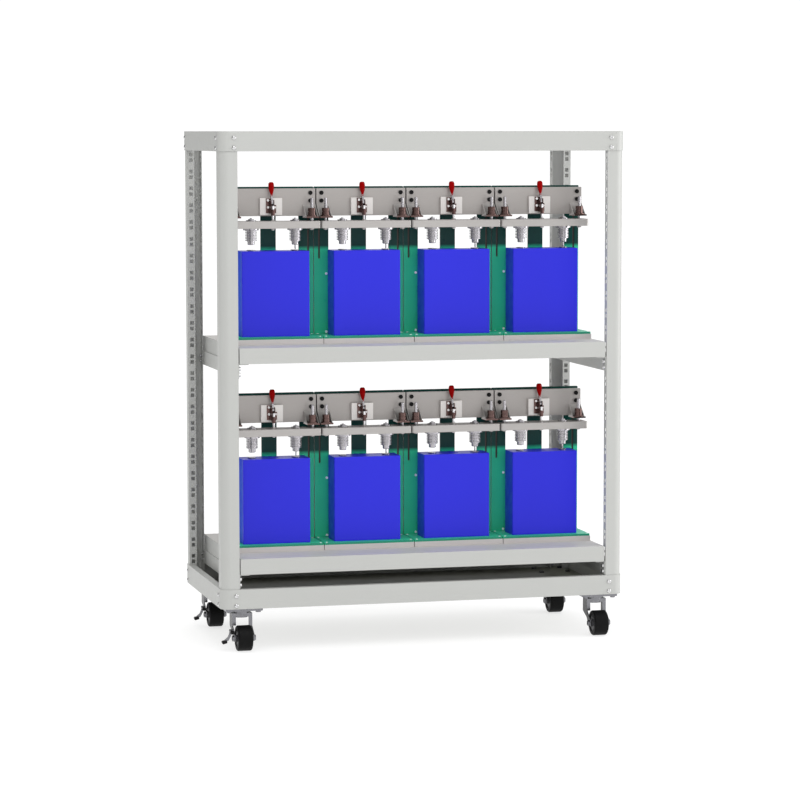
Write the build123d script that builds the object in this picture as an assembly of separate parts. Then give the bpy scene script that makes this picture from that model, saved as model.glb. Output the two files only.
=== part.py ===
from build123d import *
import os

# Wheeled test rack: two shelves, eight toggle-clamp probe fixtures and eight prismatic battery cells.
# Millimetres, +Z up, -Y is the front. The parts are laid out with y = 0 on the front face of the frame
# and z = 0 on the floor; save() moves them so that the origin is the floor centre of the envelope.

# ---- frame ----
FRAME_W = 1064.0          # over the beams, left to right
FRAME_D = 505.0           # over the beams, front to back
FRAME_Z0 = 109.0          # underside of the frame, carried by the casters
FRAME_Z1 = 1311.5         # top of the frame
BEAM_H = 50.0
SHEET = 2.0               # sheet thickness of beams, posts and rails
CORNER = 24.0             # size of the rounded corner pieces, seen from above
CORNER_R = 23.99          # their outer radius
LEG = 47.0                # how far the post legs reach from the frame corner
RETURN_W = 20.0           # inward return on each post leg
FLANGE_W = 16.0           # beam flanges
POST_GAP = 0.2            # ends of the posts to the pan and corner plates

# ---- rack holes: two 9.5 mm squares per 1U of 44.45 mm ----
RACK_U = 44.45
HOLE_SIDE = 9.5
HOLE_HALF_GAP = 7.45
FIRST_PAIR_Z = 176.1
PAIRS = 25
HOLE_INSET = 11.0         # hole centre line from the outer face of the post leg

# ---- frame bolts: M6 button heads ----
BOLT_R = 3.0
HEAD_R = 5.5
HEAD_H = 3.5
RAIL_HEAD_H = 5.5         # taller heads on the rail bolts
SOCKET_DEPTH = 1.8
HEAD_ROUND = 1.0          # straight part of a bolt head below its rounding
BOLT_INSET = 38.0         # from the frame corner
BOLT_LOW = 9.0            # height above the underside of a beam
BOLT_HIGH = 34.0
BOLT_GRIP = 9.0           # shank length behind the head

# ---- shelves ----
SHELF_T = 1.5
SHELF_LIP = 40.0
SHELF_X = FRAME_W / 2 - 50.0
SHELF_Y0 = 3.0
RAIL_H = 36.0
RAIL_FLANGE = 26.0
RAIL_BOLT_DROP = 59.5     # shelf face down to the middle of the hole pair that holds the rail
LOWER_PAIR = 0
UPPER_PAIR = 12
PAN_T = 1.5

# ---- stations: four per shelf ----
PITCH = 240.0
COLUMNS = 4
STATION_HALF = 119.2
BASE_Y0 = 113.4
BASE_Y1 = 283.0
BASE_H = 13.0
DECK_T = 5.6
BOARD_Y = 229.0
BOARD_T = 2.4
BACK_FRAME_T = 3.0
BACK_FRAME_D = 14.0
BOARD_TOP = 400.0
WINDOW_X = (20.0, 80.5)
WINDOW_Z = (60.0, 340.0)
SLOT_X = 105.5
SLOT_W = 5.0
SLOT_Z = (213.0, 388.0)

# ---- head, bar and probes; heights are above the shelf face ----
HEAD_Y = 201.2
HEAD_T = 12.0
HEAD_HALF = 118.4
HEAD_Z = (325.2, 395.8)
HEAD_SCREW_X = SLOT_X
HEAD_SCREW_Z = (364.2, 384.4)
HEAD_SCREW_R = 5.5
HEAD_SCREW_SHANK_R = 2.4
HEAD_SCREW_CAP = 3.2      # height of their heads
BAR_Y = (138.4, 193.4)
BAR_Z = (294.9, 313.5)
BAR_HALF = 118.8
PROBE_X = 57.75
PROBE_Y = 168.0
PROBE_TIP_Z = 252.8
STUD_R = 5.0              # probe stud through the bar
SENSE_R = 1.8
ROD_X = 101.9
ROD_Y = 167.8
ROD_R = 4.0
ROD_Z = (290.0, 372.3)
BUSH_R = 9.8
BUSH_COLLAR_R = 14.0
SPIGOT_R = 8.3            # lower end of the bush, through the bracket foot
BRACKET_HALF = 16.5
BRACKET_FOOT = 4.0        # thickness of the foot plate
BUSH_Z = (321.0, 346.3)
RUNNING = 0.05            # radial running fit
FIXED = 0.02              # radial clearance where a piece is screwed or pressed in

# ---- toggle clamp ----
BLOCK_HALF = 28.9
BLOCK_Y = 190.3
BLOCK_Z = (327.9, 371.8)
FLANGE_T = 2.5
PLUNGER_Y = 168.0
PLUNGER_R = 3.0
CHEEK_GAP = 2.8            # half of the gap between the clamp cheeks
CHEEK_T = 1.6
PIVOT_Y = 180.0
PIVOT_Z = 360.0
PIVOT_R = 2.5
HANDLE_LEAN = 12.0        # degrees behind the vertical at rest
GRIP_FOOT = 16.0           # lower end of the grip above the pivot
GRIP_LENGTH = 37.0
GRIP_SHAPE = (             # share of the length, half width, half depth
    (0.0, 3.8, 5.0),
    (0.28, 4.4, 5.2),
    (0.58, 7.0, 6.8),
    (0.80, 7.4, 7.3),
    (0.95, 6.2, 6.2),
    (1.0, 4.2, 4.2),
)
LEVER_HALF_X = 2.5
LEVER_HALF_Y = 4.0
LEVER_LENGTH = 20.0        # pivot to the end of the steel inside the grip
CLAMP_SCREWS = ((-8.9, 366.0), (-8.9, 348.0), (8.6, 348.0))

# ---- small screws of a station ----
BOARD_SCREW_X = 86.6
BOARD_SCREW_Z = (23.3, 174.1)
DECK_SCREW_X = 112.0

# ---- cell ----
CELL_W = 176.5
CELL_T = 72.0
CELL_Y = 170.5
CELL_Z = (18.9, 237.5)
FILM = 0.4
CAN_WALL = 1.2
LID_T = 2.0
GASKET_R = 8.4
TERMINAL_R = 6.4          # terminal post through the gasket
TERMINAL_HEAD_R = 11.0
TERMINAL_TOP = 240.0

# ---- casters ----
CASTER_X = FRAME_W / 2 - 60.0
CASTER_Y = (52.0, 439.0)
TRAIL = 34.0
WHEEL_R = 32.5
WHEEL_W = 38.0
HUB_R = 21.0
AXLE_R = 5.0
PLATE = 96.0
PLATE_T = 6.0
PLATE_BOLT = 37.0
CASTER_BOLT_R = 4.0
FORK_HALF = 23.5
FORK_T = 2.5
LEG_Y = (-15.0, 20.0)      # front and rear edges of a fork leg at the crown
LEG_LIP = 7.0              # width of the fold along its front edge
RACE_R = 16.0
KINGPIN_R = 6.0
BRAKE_X = -FORK_HALF - FORK_T - 5.0
BRAKE_Y = -28.0
BRAKE_Z = 49.0
BRAKE_REACH = 19.0         # pivot to the outer end of the arm
BRAKE_PIN_R = 2.0
PEDAL_DROP = 26.0          # pivot down to the middle of the pedal

RACE_Z = FRAME_Z0 - PLATE_T
FORK_TOP = RACE_Z - 8.3
CORNER_NAMES = ("front_left", "front_right", "rear_left", "rear_right")
Y_MID = (CASTER_Y[0] - TRAIL - WHEEL_R + FRAME_D + HEAD_H) / 2


# ---------------------------------------------------------------- helpers
def box(x0, x1, y0, y1, z0, z1):
    centre = Pos((x0 + x1) / 2, (y0 + y1) / 2, (z0 + z1) / 2)
    return centre * Box(x1 - x0, y1 - y0, z1 - z0)


def rod(x, y, z0, z1, r):
    return Pos(x, y, (z0 + z1) / 2) * Cylinder(r, z1 - z0)


def rod_x(x0, x1, y, z, r):
    return Pos((x0 + x1) / 2, y, z) * Rot(0, 90, 0) * Cylinder(r, x1 - x0)


def rod_y(x, y0, y1, z, r):
    return Pos(x, (y0 + y1) / 2, z) * Rot(90, 0, 0) * Cylinder(r, y1 - y0)


def hexagon(x, y, z0, z1, across_flats):
    prism = extrude(RegularPolygon(across_flats / 2, 6, major_radius=False), z1 - z0)
    return Pos(x, y, z0) * prism


def side_plate(face, x0, thickness):
    """A face drawn in y and height, stood up at x0 with its thickness towards +X."""
    return Pos(x0, 0, 0) * extrude(Plane.YZ * face, thickness)


def flip_x(shape):
    return mirror(shape, about=Plane.YZ)


def flip_y(shape):
    return mirror(shape, about=Plane(origin=(0, FRAME_D / 2, 0), z_dir=(0, 1, 0)))


def both_sides(shape):
    return [shape, flip_x(shape)]


def four_corners(shape):
    return [shape, flip_x(shape), flip_y(shape), flip_x(flip_y(shape))]


def save(name, shapes):
    solids = [s for shape in shapes for s in shape.solids()]
    placed = [Pos(0, -Y_MID, 0) * s for s in solids]
    whole = placed[0] if len(placed) == 1 else Compound(placed)
    export_step(whole, os.path.join("parts", name + ".step"))


def pair_z(index):
    return FIRST_PAIR_Z + RACK_U * index


def shelf_z(pair):
    return pair_z(pair) + RAIL_BOLT_DROP


SHELVES = (shelf_z(LOWER_PAIR), shelf_z(UPPER_PAIR))


def stations():
    """Left to right on the lower shelf, then on the upper one."""
    spots = []
    for z in SHELVES:
        for column in range(COLUMNS):
            x = (column - (COLUMNS - 1) / 2) * PITCH
            spots.append(Pos(x, 0, z))
    return spots


def at_stations(shapes):
    return [spot * shape for spot in stations() for shape in shapes]


# ---------------------------------------------------------------- frame
def corner_square(inset, reach, radius):
    """Square in the front left frame corner, with its outer corner rounded."""
    x0 = -FRAME_W / 2 + inset
    size = reach - inset
    square = Pos(x0 + size / 2, inset + size / 2) * Rectangle(size, size)
    corner = square.vertices().sort_by(Axis.X)[:2].sort_by(Axis.Y)[0]
    return fillet(corner, radius)


def post():
    """Rounded angle post whose legs end in inward returns with square rack holes."""
    outer = corner_square(SHEET, LEG, CORNER_R - SHEET)
    inner = corner_square(2 * SHEET, LEG + SHEET, CORNER_R - 2 * SHEET)
    z0 = FRAME_Z0 + PAN_T + POST_GAP
    z1 = FRAME_Z1 - SHEET - POST_GAP
    angle = Pos(0, 0, z0) * extrude(outer - inner, z1 - z0)
    left = -FRAME_W / 2
    r0 = 2 * SHEET
    r1 = SHEET + RETURN_W
    front_return = box(left + LEG - SHEET, left + LEG, r0, r1, z0, z1)
    side_return = box(left + r0, left + r1, LEG - SHEET, LEG, z0, z1)
    return angle + (front_return - rack_holes(True)) + (side_return - rack_holes(False))


def rack_holes(across_x):
    middle = HOLE_INSET + SHEET
    cuts = []
    for index in range(PAIRS):
        for side in (-1, 1):
            z = pair_z(index) + side * HOLE_HALF_GAP
            if across_x:
                spot = Pos(-FRAME_W / 2 + LEG - SHEET / 2, middle, z)
                cuts.append(spot * Box(3 * SHEET, HOLE_SIDE, HOLE_SIDE))
            else:
                spot = Pos(-FRAME_W / 2 + middle, LEG - SHEET / 2, z)
                cuts.append(spot * Box(HOLE_SIDE, 3 * SHEET, HOLE_SIDE))
    return Part() + cuts


def long_beam(z0, with_lower_flange, with_upper_flange):
    """Front beam: web with inward flanges between the posts."""
    half = FRAME_W / 2
    z1 = z0 + BEAM_H
    beam = box(-half + CORNER, half - CORNER, 0, SHEET, z0, z1)
    inner = half - LEG - 1
    if with_lower_flange:
        beam += box(-inner, inner, SHEET, SHEET + FLANGE_W, z0, z0 + SHEET)
    if with_upper_flange:
        beam += box(-inner, inner, SHEET, SHEET + FLANGE_W, z1 - SHEET, z1)
    return beam


def short_beam(z0, with_lower_flange, with_upper_flange):
    """Left beam: web with inward flanges between the posts."""
    left = -FRAME_W / 2
    z1 = z0 + BEAM_H
    beam = box(left, left + SHEET, CORNER, FRAME_D - CORNER, z0, z1)
    y0 = LEG + 1
    y1 = FRAME_D - LEG - 1
    if with_lower_flange:
        beam += box(left + SHEET, left + SHEET + FLANGE_W, y0, y1, z0, z0 + SHEET)
    if with_upper_flange:
        beam += box(left + SHEET, left + SHEET + FLANGE_W, y0, y1, z1 - SHEET, z1)
    return beam


def beam_ring(z0, lower, upper):
    front = long_beam(z0, lower, upper)
    side = short_beam(z0, lower, upper)
    return [front, flip_y(front)] + both_sides(side)


def corner_cap(z0, with_plate):
    """Rounded corner piece between two beams; the top ones carry a cover plate."""
    ring = corner_square(0, CORNER, CORNER_R) - corner_square(SHEET, CORNER, CORNER_R - SHEET)
    cap = Pos(0, 0, z0) * extrude(ring, BEAM_H)
    if with_plate:
        plate = corner_square(SHEET, LEG + 1, CORNER_R - SHEET)
        cap += Pos(0, 0, z0 + BEAM_H - SHEET) * extrude(plate, SHEET)
    return cap


def button_bolt(length, head_h=HEAD_H):
    """Button head on the -Y side of the origin, shank towards +Y."""
    head = Rot(90, 0, 0) * Cylinder(HEAD_R, head_h, align=(Align.CENTER, Align.CENTER, Align.MIN))
    head = fillet(head.edges().filter_by(GeomType.CIRCLE).sort_by(Axis.Y)[0], HEAD_H - HEAD_ROUND)
    socket = Rot(90, 0, 0) * extrude(RegularPolygon(2.0, 6, major_radius=False), head_h)
    socket = Pos(0, SOCKET_DEPTH - head_h, 0) * socket
    return head - socket + rod_y(0, 0, length, 0, BOLT_R)


def frame_bolts():
    front_bolt = button_bolt(BOLT_GRIP)
    side_bolt = Rot(0, 0, -90) * front_bolt
    bolts = []
    for z0 in (FRAME_Z0, FRAME_Z1 - BEAM_H):
        for height in (BOLT_LOW, BOLT_HIGH):
            z = z0 + height
            front = Pos(-FRAME_W / 2 + BOLT_INSET, 0, z) * front_bolt
            side = Pos(-FRAME_W / 2, BOLT_INSET, z) * side_bolt
            bolts += four_corners(front) + four_corners(side)
    return bolts


def bolt_holes(beams):
    """Clearance for the frame bolts through webs and post legs."""
    cuts = []
    for z0 in (FRAME_Z0, FRAME_Z1 - BEAM_H):
        for height in (BOLT_LOW, BOLT_HIGH):
            z = z0 + height
            along_y = rod_y(-FRAME_W / 2 + BOLT_INSET, -1, 3 * SHEET, z, BOLT_R + FIXED)
            along_x = rod_x(-FRAME_W / 2 - 1, -FRAME_W / 2 + 3 * SHEET, BOLT_INSET, z, BOLT_R + FIXED)
            cuts += four_corners(along_y) + four_corners(along_x)
    tool = Part() + cuts
    return [beam - tool for beam in beams]


def bottom_pan():
    """Floor sheet between the bottom beams, rounded to the corner pieces."""
    half = FRAME_W / 2 - SHEET
    sheet = Pos(0, FRAME_D / 2) * RectangleRounded(2 * half, FRAME_D - 2 * SHEET, CORNER_R - SHEET)
    pan = Pos(0, 0, FRAME_Z0) * extrude(sheet, PAN_T)
    cuts = []
    for spot in caster_spots():
        for dx in (-PLATE_BOLT, PLATE_BOLT):
            for dy in (-PLATE_BOLT, PLATE_BOLT):
                cuts.append(spot * rod(dx, dy, FRAME_Z0 - 1, FRAME_Z0 + PAN_T + 1, CASTER_BOLT_R + FIXED))
    return pan - (Part() + cuts)


# ---------------------------------------------------------------- shelves
def shelf(z):
    """Folded tray with a lip down on all four sides."""
    y1 = FRAME_D - SHELF_Y0
    outer = box(-SHELF_X, SHELF_X, SHELF_Y0, y1, z - SHELF_LIP, z)
    outer = fillet(outer.edges().group_by(Axis.Z)[-1], 1.2)
    hollow = box(-SHELF_X + SHELF_T, SHELF_X - SHELF_T, SHELF_Y0 + SHELF_T, y1 - SHELF_T,
                 z - SHELF_LIP - 1, z - SHELF_T)
    return outer - hollow


def rail(z):
    """Left support angle under a shelf, bolted to the returns of the front and rear posts."""
    x0 = -FRAME_W / 2 + LEG
    y0 = 2 * SHEET + 0.5
    y1 = FRAME_D - y0
    top = z - SHELF_LIP
    web = box(x0, x0 + SHEET, y0, y1, top - RAIL_H, top)
    flange = box(x0 + SHEET, x0 + RAIL_FLANGE, y0, y1, top - SHEET, top)
    holes = []
    for y in (HOLE_INSET + SHEET, FRAME_D - HOLE_INSET - SHEET):
        for side in (-1, 1):
            hole_z = z - RAIL_BOLT_DROP + side * HOLE_HALF_GAP
            holes.append(rod_x(x0 - 1, x0 + SHEET + 1, y, hole_z, BOLT_R + FIXED))
    return web + flange - (Part() + holes)


def rail_bolts(z):
    """Bolts with their heads on the inner side of the left rail and a nut behind the post return."""
    bolt = Rot(0, 0, 90) * button_bolt(BOLT_GRIP, RAIL_HEAD_H)
    x = -FRAME_W / 2 + LEG + SHEET
    bolts = []
    for y in (HOLE_INSET + SHEET, FRAME_D - HOLE_INSET - SHEET):
        for side in (-1, 1):
            bolts.append(Pos(x, y, z - RAIL_BOLT_DROP + side * HOLE_HALF_GAP) * bolt)
    return bolts


# ---------------------------------------------------------------- station, fixed parts
def back_outline(slotted):
    """Board outline in the XZ plane with two windows, and two adjustment slots where asked for."""
    z0 = BASE_H
    middle = (z0 + BOARD_TOP) / 2
    face = Pos(0, middle) * RectangleRounded(2 * STATION_HALF, BOARD_TOP - z0, 2.0)
    slot_h = SLOT_Z[1] - SLOT_Z[0]
    for side in (-1, 1):
        window = RectangleRounded(WINDOW_X[1] - WINDOW_X[0], WINDOW_Z[1] - WINDOW_Z[0], 3.0)
        face -= Pos(side * sum(WINDOW_X) / 2, sum(WINDOW_Z) / 2) * window
        if slotted:
            face -= Pos(side * SLOT_X, sum(SLOT_Z) / 2) * Rot(0, 0, 90) * SlotOverall(slot_h, SLOT_W)
    return face


def standing_plate(face, y0, thickness):
    """A face drawn in x and height, stood up at y0 with its thickness towards the back."""
    return Pos(0, y0 + thickness, 0) * Rot(90, 0, 0) * extrude(face, thickness)


def back_board():
    return standing_plate(back_outline(True), BOARD_Y, BOARD_T)


def back_frame():
    """Metal backing plate with side flanges that stiffens the board; round holes for the head screws."""
    y0 = BOARD_Y + BOARD_T
    plate = standing_plate(back_outline(False), y0, BACK_FRAME_T)
    for z in HEAD_SCREW_Z:
        hole = rod_y(HEAD_SCREW_X, y0 - 1, y0 + BACK_FRAME_T + 1, z, HEAD_SCREW_SHANK_R + FIXED)
        plate -= Part() + both_sides(hole)
    y1 = y0 + BACK_FRAME_D
    flange = box(-STATION_HALF, -STATION_HALF + BACK_FRAME_T, y0 + BACK_FRAME_T, y1, BASE_H, BOARD_TOP - 4)
    foot = box(-STATION_HALF + BACK_FRAME_T, STATION_HALF - BACK_FRAME_T, y0 + BACK_FRAME_T, y1,
               BASE_H, BASE_H + BACK_FRAME_T)
    return plate + both_sides(flange) + foot


def base_plate():
    block = box(-STATION_HALF, STATION_HALF, BASE_Y0, BASE_Y1, 0, BASE_H)
    return chamfer(block.edges().group_by(Axis.Z)[-1], 0.6)


def deck_board():
    sheet = box(-STATION_HALF + 1, STATION_HALF - 1, BASE_Y0 + 1.5, BOARD_Y - 0.3, BASE_H, BASE_H + DECK_T)
    return fillet(sheet.edges().filter_by(Axis.Z), 2.0)


def head_plate():
    """Cross plate of the head, and the two spacers that carry it clear of the board."""
    plate = box(-HEAD_HALF, HEAD_HALF, HEAD_Y, HEAD_Y + HEAD_T, *HEAD_Z)
    plate = chamfer(plate.edges().filter_by(Axis.Y), 0.8)
    spacer = box(-HEAD_SCREW_X - 12, -HEAD_SCREW_X + 12, HEAD_Y + HEAD_T, BOARD_Y, 350, 394)
    holes = []
    for z in HEAD_SCREW_Z:
        holes += both_sides(rod_y(HEAD_SCREW_X, HEAD_Y - 1, BOARD_Y + 1, z, HEAD_SCREW_SHANK_R + FIXED))
    tool = Part() + holes
    return [plate - tool] + [s - tool for s in both_sides(spacer)]


def head_screws():
    """Socket head screws through head, spacer and board slot, each with its nut."""
    rear = BOARD_Y + BOARD_T + BACK_FRAME_T
    screws = []
    for z in HEAD_SCREW_Z:
        head = rod_y(HEAD_SCREW_X, HEAD_Y - HEAD_SCREW_CAP, HEAD_Y, z, HEAD_SCREW_R)
        socket = rod_y(HEAD_SCREW_X, HEAD_Y - 4, HEAD_Y - 1.2, z, 2.2)
        shank = rod_y(HEAD_SCREW_X, HEAD_Y, rear + 7, z, HEAD_SCREW_SHANK_R)
        nut = Pos(HEAD_SCREW_X, rear + 4, z) * Rot(90, 0, 0) * hexagon(0, 0, 0, 4, 8)
        nut -= rod_y(HEAD_SCREW_X, rear - 1, rear + 8, z, HEAD_SCREW_SHANK_R + FIXED)
        screws += both_sides(head - socket + shank) + both_sides(nut)
    return screws


def guide_bracket():
    """Right bracket: foot plate, back leg and two gussets around a guide bush."""
    x0 = ROD_X - BRACKET_HALF
    x1 = ROD_X + BRACKET_HALF
    y0 = ROD_Y - 13.0
    z0 = BUSH_Z[0]
    foot = box(x0, x1, y0, HEAD_Y, z0, z0 + BRACKET_FOOT)
    leg = box(x0, x1, HEAD_Y - 3, HEAD_Y, z0, z0 + 33)
    foot_top = z0 + BRACKET_FOOT
    profile = make_face(Polyline((y0 + 10, foot_top), (HEAD_Y - 3, foot_top), (HEAD_Y - 3, z0 + 31), close=True))
    body = foot + leg + side_plate(profile, x0, 2.0) + side_plate(profile, x1 - 2.0, 2.0)
    return body - rod(ROD_X, ROD_Y, z0 - 1, foot_top + 1, SPIGOT_R + FIXED)


def guide_bush():
    """Right guide bush: barrel standing on the bracket, with a spigot through the foot plate."""
    z0, z1 = BUSH_Z
    foot_top = z0 + BRACKET_FOOT
    barrel = rod(ROD_X, ROD_Y, foot_top, z1, BUSH_R)
    collar = rod(ROD_X, ROD_Y, foot_top, foot_top + 2.5, BUSH_COLLAR_R)
    spigot = rod(ROD_X, ROD_Y, z0, foot_top, SPIGOT_R)
    groove = rod(ROD_X, ROD_Y, z0 + 15, z0 + 17, BUSH_R + 1)
    groove -= rod(ROD_X, ROD_Y, z0 + 15, z0 + 17, BUSH_R - 1)
    return barrel + collar + spigot - groove - rod(ROD_X, ROD_Y, z0 - 1, z1 + 1, ROD_R + RUNNING)


def clamp_block():
    block = box(-BLOCK_HALF, BLOCK_HALF, BLOCK_Y, HEAD_Y, *BLOCK_Z)
    return chamfer(block.edges().filter_by(Axis.Y), 0.8)


def clamp_body():
    """Toggle clamp body: stepped flange, two cheeks, plunger barrel and pivot pin."""
    y1 = BLOCK_Y - FLANGE_T
    out = CHEEK_GAP + CHEEK_T
    flange = box(-14, 1, y1, BLOCK_Y, 333, 371) + box(0, 12.5, y1, BLOCK_Y, 333, 354)
    cheek_face = make_face(Polyline((PIVOT_Y - 8, PIVOT_Z + 7), (y1, PIVOT_Z + 7), (y1, 334),
                                    (PLUNGER_Y + 2.5, 334), (PLUNGER_Y + 2.5, 345), close=True))
    cheeks = side_plate(cheek_face, -out, CHEEK_T) + side_plate(cheek_face, CHEEK_GAP, CHEEK_T)
    cheeks -= rod_x(-9, 9, PIVOT_Y, PIVOT_Z, PIVOT_R + FIXED)
    barrel = rod(0, PLUNGER_Y, 327, 343, PLUNGER_R + 1.8)
    bridge = box(-out, out, PLUNGER_Y + 2.5, y1, 330, 341)
    body = flange + cheeks + barrel + bridge
    body -= rod(0, PLUNGER_Y, 320, 350, PLUNGER_R + RUNNING)
    pin = rod_x(-out - 1.5, out + 1.5, PIVOT_Y, PIVOT_Z, PIVOT_R)
    return [body, pin]


def silver_screws():
    """Clamp fixing screws and the small board screws of one station."""
    screws = []
    y = BLOCK_Y - FLANGE_T
    for x, z in CLAMP_SCREWS:
        head = rod_y(x, y - 2.0, y, z, 2.9)
        screws.append(head - rod_y(x, y - 3, y - 0.9, z, 1.2))
    for x in (-BOARD_SCREW_X, BOARD_SCREW_X):
        for z in BOARD_SCREW_Z:
            screws.append(rod_y(x, BOARD_Y - 1.6, BOARD_Y, z, 3.2))
    for x in (-DECK_SCREW_X, DECK_SCREW_X):
        for y in (BASE_Y0 + 8, BOARD_Y - 10):
            screws.append(rod(x, y, BASE_H + DECK_T, BASE_H + DECK_T + 1.2, 2.6))
    return screws


def sense_pin():
    """Voltage pin that stands on the right terminal, inside the bore of the right probe."""
    z0 = TERMINAL_TOP + 0.4
    tip = Pos(PROBE_X, PROBE_Y, z0 + 1.5) * Cone(0.6, SENSE_R, 3.0)
    return tip + rod(PROBE_X, PROBE_Y, z0 + 3, 278, SENSE_R)


# ---------------------------------------------------------------- station, press bar
def probe(with_bore):
    """Turned contact probe: capped stud above the bar, collar, ribbed body and tip below it."""
    z0, z1 = BAR_Z
    tip = PROBE_TIP_Z + 1
    stack = [(z0 - 4.5, z0, 20.0), (tip + 8, z0 - 4.5, 11.0), (tip, tip + 8, 9.0), (z0, z1, STUD_R),
             (z1, z1 + 2.6, 12.5), (z1 + 2.6, z1 + 5.6, 7.0), (z1 + 5.6, z1 + 8.0, 2.8)]
    body = Part()
    for low, high, r in stack:
        body += rod(0, 0, low, high, r)
    body += Pos(0, 0, PROBE_TIP_Z + 0.5) * Cone(7.6, 9.0, 1.0)
    rib = PROBE_TIP_Z + 11
    while rib < z0 - 7:
        body += rod(0, 0, rib, rib + 2.0, 14.8)
        rib += 4.0
    if with_bore:
        body -= rod(0, 0, PROBE_TIP_Z - 1, z1, SENSE_R + 0.4)
    return body


def press_bar():
    """Insulating bar with its two probes, guide rods, plunger and nuts."""
    bar = box(-BAR_HALF, BAR_HALF, BAR_Y[0], BAR_Y[1], BAR_Z[0], BAR_Z[1])
    bar = fillet(bar.edges().filter_by(Axis.Z), 5.0)
    bar = chamfer(bar.edges().group_by(Axis.Z)[-1], 0.8)
    holes = both_sides(rod(PROBE_X, PROBE_Y, BAR_Z[0] - 1, BAR_Z[1] + 1, STUD_R + FIXED))
    holes += both_sides(rod(ROD_X, ROD_Y, BAR_Z[0] - 1, BAR_Z[1] + 1, ROD_R + FIXED))
    holes.append(rod(0, PLUNGER_Y, BAR_Z[0] - 1, BAR_Z[1] + 1, PLUNGER_R + FIXED))
    bar -= Part() + holes
    pieces = [bar, Pos(-PROBE_X, PROBE_Y, 0) * probe(False), Pos(PROBE_X, PROBE_Y, 0) * probe(True)]
    guide = rod(ROD_X, ROD_Y, ROD_Z[0], ROD_Z[1], ROD_R)
    guide = chamfer(guide.edges().group_by(Axis.Z)[-1], 1.0)
    nut = hexagon(ROD_X, ROD_Y, BAR_Z[0] - 4, BAR_Z[0], 10) - rod(ROD_X, ROD_Y, 280, 300, ROD_R + FIXED)
    pieces += both_sides(guide) + both_sides(nut)
    plunger = rod(0, PLUNGER_Y, BAR_Z[0] - 5, 352, PLUNGER_R)
    thread = rod(0, PLUNGER_Y, BAR_Z[0] - 10, BAR_Z[1] + 10, PLUNGER_R + FIXED)
    jam_nut = hexagon(0, PLUNGER_Y, BAR_Z[1], BAR_Z[1] + 3, 9) - thread
    end_nut = hexagon(0, PLUNGER_Y, BAR_Z[0] - 4, BAR_Z[0], 9) - thread
    return pieces + [plunger, jam_nut, end_nut]


# ---------------------------------------------------------------- station, clamp handle
def clamp_handle():
    """Steel lever with a moulded grip, drawn upright on its pivot and then leant back."""
    hub = rod_x(-LEVER_HALF_X, LEVER_HALF_X, 0, 0, 6.0)
    lever = box(-LEVER_HALF_X, LEVER_HALF_X, -LEVER_HALF_Y, LEVER_HALF_Y, 0, LEVER_LENGTH)
    steel = hub + lever - rod_x(-4, 4, 0, 0, PIVOT_R + RUNNING)
    sections = []
    for share, half_x, half_y in GRIP_SHAPE:
        sections.append(Pos(0, 0, GRIP_FOOT + share * GRIP_LENGTH) * Ellipse(half_x, half_y))
    socket_x = LEVER_HALF_X + FIXED
    socket_y = LEVER_HALF_Y + FIXED
    socket = box(-socket_x, socket_x, -socket_y, socket_y, GRIP_FOOT - 1, LEVER_LENGTH + FIXED)
    grip = loft(Sketch() + sections) - socket
    turn = Pos(0, PIVOT_Y, PIVOT_Z) * Rot(-HANDLE_LEAN, 0, 0)
    return [turn * steel, turn * grip]


# ---------------------------------------------------------------- cell
def rounded_block(width, depth, z0, z1, r):
    face = RectangleRounded(width, depth, r)
    return Pos(0, CELL_Y, z0) * extrude(face, z1 - z0)


def cell():
    """Prismatic cell: film, can, lid, terminals with gaskets, vent, collectors, insulators, two windings."""
    z0, z1 = CELL_Z
    can_w = CELL_W - 2 * FILM
    can_t = CELL_T - 2 * FILM
    film = rounded_block(CELL_W, CELL_T, z0, z1, 3.0)
    film -= rounded_block(can_w, can_t, z0 + FILM, z1 + 1, 2.6)
    can_top = z1 - LID_T
    in_w = can_w - 2 * CAN_WALL
    in_t = can_t - 2 * CAN_WALL
    can = rounded_block(can_w, can_t, z0 + FILM, can_top, 2.6)
    can -= rounded_block(in_w, in_t, z0 + FILM + CAN_WALL, can_top + 1, 1.6)
    lid = rounded_block(can_w, can_t, can_top, z1 - 0.3, 2.6)
    vent_face = SlotOverall(26, 14)
    vent_hole = Pos(0, CELL_Y, can_top - 1) * extrude(vent_face, LID_T + 2)
    lid -= vent_hole
    vent = Pos(0, CELL_Y, can_top) * extrude(vent_face, 0.6)
    pieces = [film, can, vent]
    floor = z0 + FILM + CAN_WALL
    for side in (-1, 1):
        x = side * PROBE_X
        lid -= rod(x, CELL_Y, can_top - 1, z1 + 1, GASKET_R)
        gasket = rod(x, CELL_Y, can_top - 1.5, z1 + 0.6, GASKET_R - FIXED)
        pieces.append(gasket - rod(x, CELL_Y, can_top - 2, z1 + 1, TERMINAL_R))
        terminal = rod(x, CELL_Y, can_top - 4, z1 + 0.6, TERMINAL_R - FIXED)
        terminal += rod(x, CELL_Y, z1 + 0.6, TERMINAL_TOP, TERMINAL_HEAD_R)
        pieces.append(terminal)
        pieces.append(box(x - 20, x + 20, CELL_Y - 18, CELL_Y + 18, can_top - 5, can_top - 4))
    pieces.append(lid)
    top = can_top - 7
    pieces.append(rounded_block(in_w - 1, in_t - 1, top - 1.5, top, 1.4))
    pieces.append(rounded_block(in_w - 1, in_t - 1, floor, floor + 1, 1.4))
    for side in (-1, 1):
        winding = rounded_block(in_w - 2, in_t / 2 - 1, floor + 1.5, top - 2, (in_t / 2 - 1) / 2 - 0.1)
        pieces.append(Pos(0, side * in_t / 4, 0) * winding)
    return pieces


# ---------------------------------------------------------------- casters
def caster_spots():
    return [Pos(side * CASTER_X, y, 0) for y in CASTER_Y for side in (-1, 1)]


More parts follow.
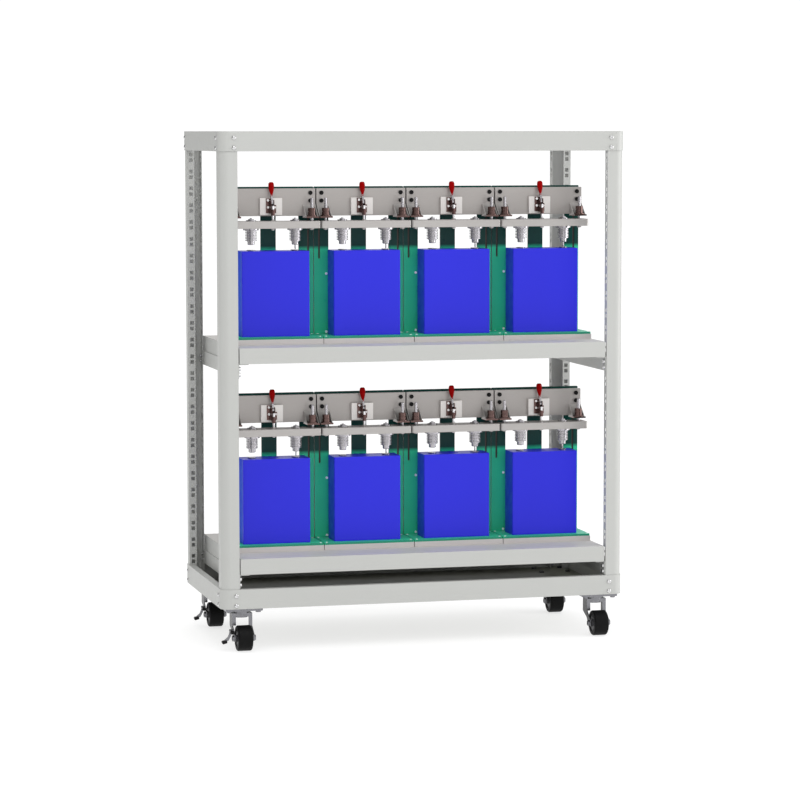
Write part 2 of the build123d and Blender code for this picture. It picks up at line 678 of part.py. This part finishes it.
def caster_plate():
    """Top plate with its bearing race and kingpin."""
    plate = Pos(0, 0, RACE_Z) * extrude(RectangleRounded(PLATE, PLATE, 6.0), PLATE_T)
    for dx in (-PLATE_BOLT, PLATE_BOLT):
        for dy in (-PLATE_BOLT, PLATE_BOLT):
            plate -= rod(dx, dy, RACE_Z - 1, FRAME_Z0 + 1, CASTER_BOLT_R + FIXED)
    race = rod(0, 0, RACE_Z - 5, RACE_Z, RACE_R)
    race += Pos(0, 0, RACE_Z - 6.5) * Cone(RACE_R - 4, RACE_R, 3.0)
    kingpin = rod(0, 0, FORK_TOP - 7, RACE_Z, KINGPIN_R)
    head = rod(0, 0, FORK_TOP - 9, FORK_TOP - 4.3, 9.0)
    return plate + race + kingpin + head


def caster_bolts():
    bolts = []
    for dx in (-PLATE_BOLT, PLATE_BOLT):
        for dy in (-PLATE_BOLT, PLATE_BOLT):
            head = hexagon(dx, dy, RACE_Z - 4.5, RACE_Z, 12)
            bolts.append(head + rod(dx, dy, RACE_Z, FRAME_Z0 + PAN_T + 4, CASTER_BOLT_R))
            nut = hexagon(dx, dy, FRAME_Z0 + PAN_T, FRAME_Z0 + PAN_T + 4, 12)
            bolts.append(nut - rod(dx, dy, FRAME_Z0, FRAME_Z0 + 12, CASTER_BOLT_R + FIXED))
    return bolts


def caster_fork(has_brake):
    """Pressed swivel fork with its crown, axle and cap nuts; the wheel trails towards the front."""
    front, rear = LEG_Y
    crown = rod(0, 0, FORK_TOP - 4, FORK_TOP + 4.5, RACE_R + 3)
    crown -= rod(0, 0, FORK_TOP, FORK_TOP + 5, RACE_R + 0.5)
    crown += rod(0, 0, FORK_TOP - 13, FORK_TOP - 4, RACE_R) - rod(0, 0, FORK_TOP - 14, FORK_TOP - 4, 10.0)
    crown += box(-FORK_HALF, FORK_HALF, front, rear, FORK_TOP - 4, FORK_TOP - 1.5)
    apron = box(-FORK_HALF, FORK_HALF, front, front + FORK_T, FORK_TOP - 11, FORK_TOP - 1.5)
    crown += chamfer(apron.edges().filter_by(Axis.Y).group_by(Axis.Z)[0], 5.0)
    crown -= rod(0, 0, FORK_TOP - 6, FORK_TOP + 1, KINGPIN_R + RUNNING)
    shoulder = FORK_TOP - 1.5
    leg_face = make_face(Polyline((rear, shoulder), (front, shoulder), (front, 60), (-TRAIL - 9, WHEEL_R + 9),
                                  (-TRAIL - 9, WHEEL_R - 7), (-TRAIL + 7, WHEEL_R - 9), (-14, 44), (rear, 58),
                                  close=True))
    leg_face = fillet(leg_face.vertices().group_by(Axis.Y)[0], 3.5)
    leg = side_plate(leg_face, FORK_HALF, FORK_T)
    leg += box(FORK_HALF - LEG_LIP, FORK_HALF, front, front + FORK_T, 62, shoulder)
    fork = crown + leg + flip_x(leg)
    out = FORK_HALF + FORK_T
    fork -= rod_x(-out - 1, out + 1, -TRAIL, WHEEL_R, AXLE_R + FIXED)
    axle = rod_x(-out - 3, out + 3, -TRAIL, WHEEL_R, AXLE_R)
    pieces = [fork, axle]
    for side in (-1, 1):
        x0 = min(side * out, side * (out + 4))
        nut = Pos(x0, -TRAIL, WHEEL_R) * Rot(0, 90, 0) * hexagon(0, 0, 0, 4, 13)
        pieces.append(nut - rod_x(-out - 5, out + 5, -TRAIL, WHEEL_R, AXLE_R + FIXED))
    if has_brake:
        for y0 in (BRAKE_Y - 9, BRAKE_Y + 6):
            lug = box(-out - 9, -out, y0, y0 + 3, BRAKE_Z - 5, BRAKE_Z + 5)
            pieces[0] += lug - rod_y(BRAKE_X, y0 - 1, y0 + 4, BRAKE_Z, BRAKE_PIN_R + FIXED)
        pieces.append(rod_y(BRAKE_X, BRAKE_Y - 11, BRAKE_Y + 11, BRAKE_Z, BRAKE_PIN_R))
        pieces.append(rod_y(BRAKE_X, BRAKE_Y - 15, BRAKE_Y - 11, BRAKE_Z, 5.0))
    return pieces


def caster_wheel():
    """Solid tyre on a hub that runs on the axle, with spacer sleeves to the fork."""
    tyre = rod_x(-WHEEL_W / 2, WHEEL_W / 2, -TRAIL, WHEEL_R, WHEEL_R)
    tyre = fillet(tyre.edges().filter_by(GeomType.CIRCLE), 4.5)
    tyre -= rod_x(-WHEEL_W / 2, WHEEL_W / 2, -TRAIL, WHEEL_R, HUB_R)
    hub = rod_x(-WHEEL_W / 2 + 2, WHEEL_W / 2 - 2, -TRAIL, WHEEL_R, HUB_R - FIXED)
    hub += rod_x(-WHEEL_W / 2 - 3, WHEEL_W / 2 + 3, -TRAIL, WHEEL_R, 9.0)
    hub -= rod_x(-WHEEL_W, WHEEL_W, -TRAIL, WHEEL_R, AXLE_R + RUNNING)
    return [tyre, hub]


def brake_rocker():
    """Foot lever on the left side of a braked caster: hub, arm, prong and a moulded pedal."""
    y = BRAKE_Y
    hub = rod_y(BRAKE_X, y - 5.5, y + 5.5, BRAKE_Z, 4.2)
    arm_face = make_face(Polyline((2.5, -2), (-2.5, 2.5), (-9, -14), (-BRAKE_REACH, 4 - PEDAL_DROP),
                                  (-BRAKE_REACH, -2 - PEDAL_DROP), (-7.5, 4 - PEDAL_DROP), close=True))
    arm = Pos(BRAKE_X, y + 3.5, BRAKE_Z) * Rot(90, 0, 0) * extrude(arm_face, 7)
    prong = Pos(BRAKE_X - 10.5, y, BRAKE_Z - 6 - PEDAL_DROP) * Rot(0, 40, 0) * Box(3, 6, 14)
    steel = hub + arm + prong - rod_y(BRAKE_X, y - 20, y + 20, BRAKE_Z, BRAKE_PIN_R + RUNNING)
    pedal = Pos(BRAKE_X - BRAKE_REACH + 1, y, BRAKE_Z - PEDAL_DROP) * Rot(0, -14, 0) * Box(13, 15, 8)
    pedal = fillet(pedal.edges(), 2.5)
    steel -= pedal
    return [steel.solids().sort_by(Axis.Z)[-1], pedal]


# ---------------------------------------------------------------- write the parts
def main():
    os.makedirs("parts", exist_ok=True)
    posts = bolt_holes(four_corners(post()))
    for corner, shape in zip(CORNER_NAMES, posts):
        save("post_" + corner, [shape])
    save("bottom_beams", bolt_holes(beam_ring(FRAME_Z0, False, True)))
    save("top_beams", bolt_holes(beam_ring(FRAME_Z1 - BEAM_H, True, True)))
    caps = four_corners(corner_cap(FRAME_Z0, False)) + four_corners(corner_cap(FRAME_Z1 - BEAM_H, True))
    save("corner_caps", caps)
    save("bottom_pan", [bottom_pan()])
    rails = []
    bolts = frame_bolts()
    for z in SHELVES:
        rails += both_sides(rail(z))
        for bolt in rail_bolts(z):
            bolts += both_sides(bolt)
    save("shelf_rails", rails)
    save("frame_bolts", bolts)
    save("lower_shelf", [shelf(SHELVES[0])])
    save("upper_shelf", [shelf(SHELVES[1])])
    save("base_plates", at_stations([base_plate()]))
    save("deck_boards", at_stations([deck_board()]))
    save("back_boards", at_stations([back_board()]))
    save("back_frames", at_stations([back_frame()]))
    save("head_plates", at_stations(head_plate()))
    save("head_screws", at_stations(head_screws()))
    save("guide_brackets", at_stations(both_sides(guide_bracket())))
    save("guide_bushes", at_stations(both_sides(guide_bush())))
    save("clamp_blocks", at_stations([clamp_block()]))
    save("clamp_bodies", at_stations(clamp_body()))
    save("small_screws", at_stations(silver_screws()))
    save("sense_pins", at_stations([sense_pin()]))
    movers = (("press_bar_", press_bar()), ("clamp_handle_", clamp_handle()), ("cell_", cell()))
    for number, spot in enumerate(stations(), 1):
        for name, shapes in movers:
            save(name + str(number), [spot * shape for shape in shapes])
    save("caster_plates", [spot * caster_plate() for spot in caster_spots()])
    save("caster_bolts", [spot * bolt for spot in caster_spots() for bolt in caster_bolts()])
    for name, spot in zip(CORNER_NAMES, caster_spots()):
        braked = name.endswith("left")
        save("fork_" + name, [spot * shape for shape in caster_fork(braked)])
        save("wheel_" + name, [spot * shape for shape in caster_wheel()])
        if braked:
            save("brake_" + name, [spot * shape for shape in brake_rocker()])


main()
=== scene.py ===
"""Looks for the prismatic battery cell test rack: materials, light and camera around the CAD nodes."""
from math import radians

import bpy
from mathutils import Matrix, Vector


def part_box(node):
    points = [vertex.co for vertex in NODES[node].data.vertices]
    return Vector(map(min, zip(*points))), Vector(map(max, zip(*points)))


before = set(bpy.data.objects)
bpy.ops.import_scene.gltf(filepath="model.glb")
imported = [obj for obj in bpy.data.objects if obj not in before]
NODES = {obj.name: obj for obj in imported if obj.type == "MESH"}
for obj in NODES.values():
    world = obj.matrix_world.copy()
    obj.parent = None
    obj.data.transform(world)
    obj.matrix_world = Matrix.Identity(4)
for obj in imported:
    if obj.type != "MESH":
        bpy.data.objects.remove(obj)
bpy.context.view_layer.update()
MM = 0.001
STATIONS = range(1, 9)


FACING = 0.9                # a face counts as facing an axis above this share of its normal
# Painted shade: a dark green laid on the back boards above the cells, where the head plates shade them.
SHADED_GREEN = (0.004, 0.052, 0.042)


# ---------------------------------------------------------------- material helpers
class Shader:
    """A Principled material with object coordinates, built up one effect at a time."""

    def __init__(self, name, colour, rough, metal=0.0):
        self.mat = bpy.data.materials.new(name)
        self.mat.use_nodes = True
        self.tree = self.mat.node_tree
        self.bsdf = self.tree.nodes["Principled BSDF"]
        self.colour = (*colour, 1.0)
        self.bsdf.inputs["Base Color"].default_value = self.colour
        self.bsdf.inputs["Roughness"].default_value = rough
        self.bsdf.inputs["Metallic"].default_value = metal
        self.rough = rough
        self.coord = self.node("ShaderNodeTexCoord")
        self.height = None
        self.mat.diffuse_color = self.colour

    def node(self, kind, **settings):
        made = self.tree.nodes.new(kind)
        for key, value in settings.items():
            setattr(made, key, value)
        return made

    def link(self, a, b):
        self.tree.links.new(a, b)

    def set(self, **sockets):
        for key, value in sockets.items():
            self.bsdf.inputs[key.replace("_", " ")].default_value = value
        return self

    def noise(self, scale, detail=3.0, stretch=(1, 1, 1), rough=0.5):
        """Noise over the object, scale in features per metre, longer along axes with a small stretch."""
        mapping = self.node("ShaderNodeMapping")
        mapping.inputs["Scale"].default_value = stretch
        self.link(self.coord.outputs["Object"], mapping.inputs["Vector"])
        noise = self.node("ShaderNodeTexNoise")
        noise.inputs["Scale"].default_value = scale
        noise.inputs["Detail"].default_value = detail
        noise.inputs["Roughness"].default_value = rough
        self.link(mapping.outputs["Vector"], noise.inputs["Vector"])
        return noise.outputs["Fac"]

    def ramp(self, value, low, high, out_low=0.0, out_high=1.0):
        node = self.node("ShaderNodeMapRange")
        node.inputs["From Min"].default_value = low
        node.inputs["From Max"].default_value = high
        node.inputs["To Min"].default_value = out_low
        node.inputs["To Max"].default_value = out_high
        self.link(value, node.inputs["Value"])
        return node.outputs["Result"]

    def band(self, low, high, soft=5.0 * MM):
        """1 between two heights of the object, fading over a short distance at the lower one."""
        split = self.node("ShaderNodeSeparateXYZ")
        self.link(self.coord.outputs["Object"], split.inputs[0])
        rise = self.ramp(split.outputs["Z"], low - soft, low + soft)
        fall = self.ramp(split.outputs["Z"], high, high + soft, 1.0, 0.0)
        both = self.node("ShaderNodeMath", operation="MULTIPLY")
        self.link(rise, both.inputs[0])
        self.link(fall, both.inputs[1])
        return both.outputs["Value"]

    def tint(self, value, other):
        """Mixes another colour over the base where value is high."""
        mix = self.node("ShaderNodeMix", data_type="RGBA")
        source = self.bsdf.inputs["Base Color"]
        if source.is_linked:
            self.link(source.links[0].from_socket, mix.inputs["A"])
        else:
            mix.inputs["A"].default_value = self.colour
        mix.inputs["B"].default_value = (*other, 1.0)
        self.link(value, mix.inputs["Factor"])
        self.link(mix.outputs["Result"], source)
        return self

    def vary_rough(self, value, spread):
        """Roughness moves about its own value by up to the spread."""
        out = self.ramp(value, 0.3, 0.7, self.rough - spread, self.rough + spread)
        self.link(out, self.bsdf.inputs["Roughness"])

    def bump(self, value, strength, depth_mm):
        node = self.node("ShaderNodeBump")
        node.inputs["Strength"].default_value = strength
        node.inputs["Distance"].default_value = depth_mm * MM
        self.link(value, node.inputs["Height"])
        if self.height is not None:
            self.link(self.height, node.inputs["Normal"])
        self.height = node.outputs["Normal"]
        self.link(self.height, self.bsdf.inputs["Normal"])
        return self

    def soft_edges(self, radius_mm):
        """Catches light along sharp edges, as a small real radius does."""
        node = self.node("ShaderNodeBevel", samples=4)
        node.inputs["Radius"].default_value = radius_mm * MM
        self.height = node.outputs["Normal"]
        self.link(self.height, self.bsdf.inputs["Normal"])
        return self

    def painted_edge_highlight(self, radius_mm, other, amount):
        """A lighter or darker colour where the surface turns quickly; on the film it is lighter, a
        painted highlight standing in for light caught along the edges.
        """
        bevel = self.node("ShaderNodeBevel", samples=4)
        bevel.inputs["Radius"].default_value = radius_mm * MM
        geometry = self.node("ShaderNodeNewGeometry")
        dot = self.node("ShaderNodeVectorMath", operation="DOT_PRODUCT")
        self.link(bevel.outputs["Normal"], dot.inputs[0])
        self.link(geometry.outputs["Normal"], dot.inputs[1])
        edge = self.ramp(dot.outputs["Value"], 0.99, 0.75, 0.0, amount)
        return self.tint(edge, other)


def powder_coat(name, colour):
    s = Shader(name, colour, 0.42)
    s.soft_edges(1.0)
    s.tint(s.ramp(s.noise(9.0, 4.0), 0.35, 0.7, 0.0, 0.35), tuple(c * 0.96 for c in colour))
    s.tint(s.ramp(s.noise(2600.0, 2.0), 0.55, 0.8, 0.0, 0.5), tuple(c * 0.93 for c in colour))
    s.vary_rough(s.noise(60.0, 3.0), 0.04)
    s.bump(s.noise(1400.0, 2.0), 0.25, 0.05)
    s.set(Specular_IOR_Level=0.4)
    return s.mat


def anodised(name, colour, rough, grain=(1, 30, 30)):
    """Brushed and anodised aluminium; the grain runs along the axis with the small stretch."""
    s = Shader(name, colour, rough, 0.55)
    s.soft_edges(0.6)
    lines = s.noise(70.0, 5.0, grain, 0.7)
    s.tint(s.ramp(lines, 0.35, 0.7, 0.0, 0.5), tuple(c * 0.86 for c in colour))
    s.tint(s.ramp(s.noise(7.0, 2.0), 0.4, 0.75, 0.0, 0.4), tuple(c * 0.92 for c in colour))
    s.vary_rough(s.noise(40.0, 3.0, grain), 0.06)
    s.bump(lines, 0.12, 0.04)
    return s.mat


def plated(name, colour, rough, scale=900.0):
    """Bright plating with faint turning marks and handling haze."""
    s = Shader(name, colour, rough, 1.0)
    s.soft_edges(0.3)
    s.tint(s.ramp(s.noise(120.0, 4.0), 0.45, 0.75, 0.0, 0.6), tuple(c * 0.72 for c in colour))
    s.vary_rough(s.noise(300.0, 3.0), 0.07)
    s.bump(s.noise(scale, 2.0, (1, 1, 6)), 0.15, 0.02)
    return s.mat


def laminate(name, colour, painted_shade_bands=()):
    """Green lacquered glass laminate, a faint weave under a thin gloss, darker in some height bands where
    shade is painted.
    """
    s = Shader(name, colour, 0.32)
    s.soft_edges(0.3)
    weave = s.node("ShaderNodeTexWave", wave_type="BANDS", bands_direction="X")
    weave.inputs["Scale"].default_value = 420.0
    across = s.node("ShaderNodeTexWave", wave_type="BANDS", bands_direction="Z")
    across.inputs["Scale"].default_value = 420.0
    s.link(s.coord.outputs["Object"], weave.inputs["Vector"])
    s.link(s.coord.outputs["Object"], across.inputs["Vector"])
    cross = s.node("ShaderNodeMath", operation="MULTIPLY")
    s.link(weave.outputs["Fac"], cross.inputs[0])
    s.link(across.outputs["Fac"], cross.inputs[1])
    threads = s.ramp(cross.outputs["Value"], 0.2, 1.0, 0.0, 0.35)
    s.tint(threads, tuple(min(1, c * 1.35) for c in colour))
    s.tint(s.ramp(s.noise(11.0, 3.0), 0.4, 0.75, 0.0, 0.5), tuple(c * 0.82 for c in colour))
    s.vary_rough(s.noise(30.0, 3.0), 0.05)
    # Painted shade: each height band is darkened towards SHADED_GREEN.
    for low, high in painted_shade_bands:
        s.tint(s.band(low, high), SHADED_GREEN)
    s.bump(cross.outputs["Value"], 0.08, 0.03)
    s.set(Specular_IOR_Level=0.15, Coat_Weight=0.03, Coat_Roughness=0.12)
    return s.mat


def film(name, colour):
    """Glossy insulation film drawn over the can, with slight tension ripples."""
    s = Shader(name, colour, 0.36)
    s.soft_edges(1.2)
    s.tint(s.ramp(s.noise(5.0, 2.0, (1, 1, 0.5)), 0.35, 0.75, 0.0, 0.5), tuple(c * 0.93 for c in colour))
    # Painted highlight: the film's edges are lightened where light catches them.
    s.painted_edge_highlight(1.5, tuple(min(1, c * 1.25 + 0.02) for c in colour), 0.5)
    s.vary_rough(s.noise(45.0, 4.0), 0.06)
    s.bump(s.noise(24.0, 3.0, (1, 1, 0.25)), 0.18, 0.4)
    s.bump(s.noise(1800.0, 2.0), 0.08, 0.02)
    s.set(Specular_IOR_Level=0.2, Coat_Weight=0.04, Coat_Roughness=0.2)
    return s.mat


def moulded(name, colour, rough, grain=1500.0, shine=0.3):
    """Moulded plastic or rubber with a fine grain and paler handling marks."""
    s = Shader(name, colour, rough)
    s.soft_edges(0.5)
    s.tint(s.ramp(s.noise(90.0, 4.0), 0.5, 0.8, 0.0, 0.5), tuple(c * 0.8 + 0.004 for c in colour))
    s.vary_rough(s.noise(200.0, 3.0), 0.07)
    s.bump(s.noise(grain, 3.0), 0.3, 0.06)
    s.set(Specular_IOR_Level=shine)
    return s.mat


PAINT = powder_coat("frame_paint", (0.425, 0.43, 0.414))
# Painted light: a lighter copy of the frame paint for the shelves' upward faces.
SHELF_TOP_PAINTED_LIGHT = powder_coat("shelf_top_painted_light", (0.52, 0.505, 0.475))
# Painted shade: the bottom pan is made dark, as its unlit inside looks under the lower shelf.
PAN_PAINTED_SHADE = powder_coat("pan_paint", (0.17, 0.176, 0.138))
BASE = anodised("base_aluminium", (0.60, 0.575, 0.565), 0.42)
BLOCK = anodised("block_aluminium", (0.74, 0.71, 0.69), 0.40)
FIXTURE = anodised("fixture_aluminium", (0.41, 0.385, 0.37), 0.38)
BAR = anodised("bar_aluminium", (0.45, 0.43, 0.415), 0.40)
DECK_GREEN = laminate("green_deck", (0.050, 0.56, 0.31))
# Painted shade: a darker copy of the deck green for the deck boards' front faces.
DECK_EDGE_PAINTED_SHADE = laminate("green_deck_edge_painted_shade", (0.022, 0.24, 0.15))
# Painted shade: a near black copy of the board green for the back boards' top and bottom faces.
BOARD_EDGE_PAINTED_SHADE = laminate("green_board_edge_painted_shade", (0.003, 0.045, 0.028))
BLUE = film("cell_film", (0.018, 0.019, 0.58))
LID = anodised("cell_lid", (0.62, 0.62, 0.64), 0.35, (1, 20, 20))
NICKEL = plated("nickel", (0.46, 0.445, 0.465), 0.24)
BOLT = plated("frame_bolt", (0.70, 0.70, 0.70), 0.22)
STEEL = plated("polished_steel", (0.135, 0.085, 0.078), 0.22)
CLAMP = plated("clamp_plate", (0.12, 0.07, 0.065), 0.22)
ZINC = plated("zinc", (0.235, 0.235, 0.25), 0.26)
# Painted reflection: a near black zinc for the fork legs' sides, standing in for dark reflections.
ZINC_PAINTED_DARK_REFLECTION = plated("zinc_painted_dark_reflection", (0.035, 0.035, 0.037), 0.3)
PLUNGER = plated("plunger", (0.86, 0.85, 0.87), 0.3)
COPPER = plated("copper_foil", (0.72, 0.38, 0.22), 0.3)
BLACK = moulded("black_oxide", (0.006, 0.006, 0.006), 0.35, 1500.0, 0.15)
SLOT_METAL = anodised("slot_backing", (0.055, 0.047, 0.042), 0.45)
TYRE = moulded("tyre_rubber", (0.0045, 0.0045, 0.0047), 0.5, 1100.0, 0.10)
HUB = moulded("hub_nylon", (0.045, 0.045, 0.048), 0.40)
PEDAL = moulded("pedal_plastic", (0.006, 0.006, 0.006), 0.38, 1500.0, 0.15)
RED = moulded("grip_vinyl", (0.245, 0.0003, 0.0004), 0.32, 900.0, 0.03)
GASKET = moulded("seal_plastic", (0.03, 0.03, 0.03), 0.5)
WHITE = moulded("white_screw", (0.98, 0.98, 0.98), 0.3)


# ---------------------------------------------------------------- CAD nodes get their materials
def islands(obj):
    """Separate solids of a node as (polygon indices, lowest corner, highest corner)."""
    mesh = obj.data
    key = [tuple(round(c, 5) for c in v.co) for v in mesh.vertices]
    first = {}
    parent = list(range(len(key)))

    def root(i):
        while parent[i] != i:
            parent[i] = parent[parent[i]]
            i = parent[i]
        return i

    for i, k in enumerate(key):
        parent[root(i)] = root(first.setdefault(k, i))
    for poly in mesh.polygons:
        a = root(poly.vertices[0])
        for v in poly.vertices[1:]:
            parent[root(v)] = a
    groups = {}
    for poly in mesh.polygons:
        groups.setdefault(root(poly.vertices[0]), []).append(poly.index)
    found = []
    for polys in groups.values():
        points = [mesh.vertices[v].co for p in polys for v in mesh.polygons[p].vertices]
        low = Vector([min(p[i] for p in points) for i in range(3)])
        high = Vector([max(p[i] for p in points) for i in range(3)])
        found.append((polys, low, high))
    return found


def dress(node, *mats):
    """Gives a node its materials; the first is on every face until paint() says otherwise."""
    obj = NODES[node]
    obj.data.materials.clear()
    for mat in mats:
        obj.data.materials.append(mat)
    for poly in obj.data.polygons:
        poly.material_index = 0
    return obj


def paint(obj, chosen, index):
    for polys, low, high in islands(obj):
        if chosen(low, high, high - low):
            for p in polys:
                obj.data.polygons[p].material_index = index


def paint_faces(obj, chosen, index):
    """The same face by face: chosen gets the face's centre and its outward direction."""
    for poly in obj.data.polygons:
        if chosen(poly.center, poly.normal):
            poly.material_index = index


for name in NODES:
    if name.startswith("post_") or name in ("bottom_beams", "top_beams", "corner_caps", "shelf_rails"):
        dress(name, PAINT)
    if name in ("lower_shelf", "upper_shelf"):
        # Painted light: upward shelf faces get the lighter copy of the frame paint.
        paint_faces(dress(name, PAINT, SHELF_TOP_PAINTED_LIGHT), lambda centre, normal: normal.z > FACING, 1)
# Painted shade: the pan's dark colour stands in for the shade under the lower shelf.
dress("bottom_pan", PAN_PAINTED_SHADE)
dress("frame_bolts", BOLT)
dress("base_plates", BASE)
deck = dress("deck_boards", DECK_GREEN, DECK_EDGE_PAINTED_SHADE)
# Painted shade: the deck boards' front faces get the darker copy of their green.
paint_faces(deck, lambda centre, normal: normal.y < -FACING, 1)
decks = [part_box("lower_shelf")[1][2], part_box("upper_shelf")[1][2]]
CELL_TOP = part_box("cell_1")[1][2] - decks[0]
BOARD_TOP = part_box("back_boards")[1][2] - decks[1]
# Painted shade: the back boards are darkened from just above the cell tops to their own tops on each
# shelf.
shaded = [(z + CELL_TOP + 2 * MM, z + BOARD_TOP) for z in decks]
GREEN = laminate("green_board", (0.030, 0.52, 0.27), shaded)
board = dress("back_boards", GREEN, BOARD_EDGE_PAINTED_SHADE)
# Painted shade: the back boards' top and bottom faces get the near black copy of their green.
paint_faces(board, lambda centre, normal: abs(normal.z) > FACING, 1)
backing = dress("back_frames", FIXTURE, SLOT_METAL)
paint_faces(backing, lambda centre, normal: normal.y < -FACING, 1)
dress("head_plates", FIXTURE)
bracket = dress("guide_brackets", BAR, STEEL)
BRACKET_FOOT_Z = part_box("guide_brackets")[0][2] - decks[0]


def on_bracket_foot(centre, normal):
    """The underside and the edges of the foot plates, whichever shelf they are on."""
    return any(-0.1 * MM < centre.z - z - BRACKET_FOOT_Z < 3.5 * MM for z in decks)


paint_faces(bracket, on_bracket_foot, 1)
dress("clamp_blocks", BLOCK)
dress("clamp_bodies", CLAMP)
dress("guide_bushes", STEEL)
dress("head_screws", BLACK)
dress("small_screws", WHITE)
dress("sense_pins", NICKEL)
dress("caster_plates", ZINC)
dress("caster_bolts", ZINC)


def dress_station(i):
    bar = dress(f"press_bar_{i}", BAR, NICKEL, PLUNGER)
    paint(bar, lambda low, high, size: size.x < 60 * MM, 1)
    paint(bar, lambda low, high, size: size.x < 7 * MM and size.z > 50 * MM, 2)
    handle = dress(f"clamp_handle_{i}", RED, NICKEL)
    paint(handle, lambda low, high, size: size.x < 6 * MM, 1)
    cell = dress(f"cell_{i}", BLUE, LID, NICKEL, GASKET, COPPER)
    low_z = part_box(f"cell_{i}")[0][2]
    paint(cell, lambda low, high, size: size.z < 3 * MM and low.z > low_z + 0.2, 1)
    paint(cell, lambda low, high, size: size.x < 23 * MM and size.z > 3 * MM, 2)
    paint(cell, lambda low, high, size: size.x < 18 * MM and size.z < 6 * MM, 3)


for number in STATIONS:
    dress_station(number)
for name in NODES:
    if name.startswith("fork_"):
        fork = dress(name, ZINC, PEDAL, ZINC_PAINTED_DARK_REFLECTION)
        # Painted reflection: the fork faces turned to the sides get the near black zinc.
        paint_faces(fork, lambda centre, normal: abs(normal.x) > 0.95, 2)
        if name.endswith("left"):
            knob_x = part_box("brake_" + name[5:])[1][0]
            paint(fork, lambda low, high, size: high.x < knob_x + 1 * MM and 9 * MM < size.x < 11 * MM, 1)
    if name.startswith("wheel_"):
        wheel = dress(name, TYRE, HUB)
        paint(wheel, lambda low, high, size: size.z < 50 * MM, 1)
    if name.startswith("brake_"):
        brake = dress(name, ZINC, PEDAL)
        paint(brake, lambda low, high, size: size.z < 12 * MM, 1)


# ---------------------------------------------------------------- stage, light, camera
def area_light(name, place, target, size, power):
    data = bpy.data.lights.new(name, "AREA")
    data.shape = "RECTANGLE"
    data.size, data.size_y = size
    data.energy = power
    lamp = bpy.data.objects.new(name, data)
    bpy.context.collection.objects.link(lamp)
    lamp.location = place
    lamp.rotation_euler = (Vector(target) - Vector(place)).to_track_quat("-Z", "Y").to_euler()


def studio():
    world = bpy.data.worlds.new("studio")
    bpy.context.scene.world = world
    world.use_nodes = True
    tree = world.node_tree
    sky = tree.nodes["Background"]
    sky.inputs["Color"].default_value = (1, 1, 1, 1)
    sky.inputs["Strength"].default_value = 1.06
    # dark flags to the left and below, seen only in reflections, so bright metal keeps its contrast
    coord = tree.nodes.new("ShaderNodeTexCoord")
    split = tree.nodes.new("ShaderNodeSeparateXYZ")
    tree.links.new(coord.outputs["Generated"], split.inputs[0])
    side = tree.nodes.new("ShaderNodeMapRange")
    side.inputs["From Min"].default_value = -0.55
    side.inputs["From Max"].default_value = -0.15
    side.inputs["To Min"].default_value = 0.10
    tree.links.new(split.outputs["X"], side.inputs["Value"])
    low = tree.nodes.new("ShaderNodeMapRange")
    low.inputs["From Min"].default_value = -0.15
    low.inputs["From Max"].default_value = 0.45
    low.inputs["To Min"].default_value = 0.35
    tree.links.new(split.outputs["Z"], low.inputs["Value"])
    both = tree.nodes.new("ShaderNodeMath")
    both.operation = "MULTIPLY"
    tree.links.new(side.outputs["Result"], both.inputs[0])
    tree.links.new(low.outputs["Result"], both.inputs[1])
    flags = tree.nodes.new("ShaderNodeBackground")
    tree.links.new(both.outputs["Value"], flags.inputs["Strength"])
    path = tree.nodes.new("ShaderNodeLightPath")
    mix = tree.nodes.new("ShaderNodeMixShader")
    tree.links.new(path.outputs["Is Glossy Ray"], mix.inputs["Fac"])
    tree.links.new(sky.outputs["Background"], mix.inputs[1])
    tree.links.new(flags.outputs["Background"], mix.inputs[2])
    tree.links.new(mix.outputs["Shader"], tree.nodes["World Output"].inputs["Surface"])
    area_light("key", (-1.0, -5.2, 3.2), (0, 0, 0.7), (3.0, 3.0), 30)
    area_light("front_fill", (1.5, -6.0, 1.2), (0, 0, 0.6), (4.0, 2.5), 12)
    area_light("high_front", (-0.3, -3.0, 4.6), (0, -0.1, 0.6), (2.6, 2.0), 42)
    area_light("right", (4.5, -1.2, 1.4), (0, 0, 0.7), (2.5, 2.5), 90)
    area_light("rear", (0.8, 4.5, 3.0), (0, 0, 0.7), (3.0, 2.0), 15)


def floor():
    size = 30.0
    mesh = bpy.data.meshes.new("floor")
    corners = [(-size, -size, 0), (size, -size, 0), (size, size, 0), (-size, size, 0)]
    mesh.from_pydata(corners, [], [(0, 1, 2, 3)])
    obj = bpy.data.objects.new("floor", mesh)
    bpy.context.collection.objects.link(obj)
    s = Shader("floor", (0.36, 0.36, 0.36), 0.8)
    s.tint(s.ramp(s.noise(0.8, 3.0), 0.3, 0.8, 0.0, 0.3), (0.35, 0.35, 0.35))
    s.set(Emission_Color=(1, 1, 1, 1), Emission_Strength=0.68, Specular_IOR_Level=0.1)
    mesh.materials.append(s.mat)


def camera():
    data = bpy.data.cameras.new("camera")
    data.lens = 134.17
    data.sensor_width = 36.0
    data.clip_end = 60.0
    cam = bpy.data.objects.new("camera", data)
    bpy.context.collection.objects.link(cam)
    cam.location = (-1.9446, -7.5647, 1.3107)
    cam.rotation_euler = (radians(90 - 5.147), radians(0.04), radians(-14.389))
    bpy.context.scene.camera = cam


studio()
floor()
camera()
bpy.context.scene.view_settings.view_transform = "Standard"
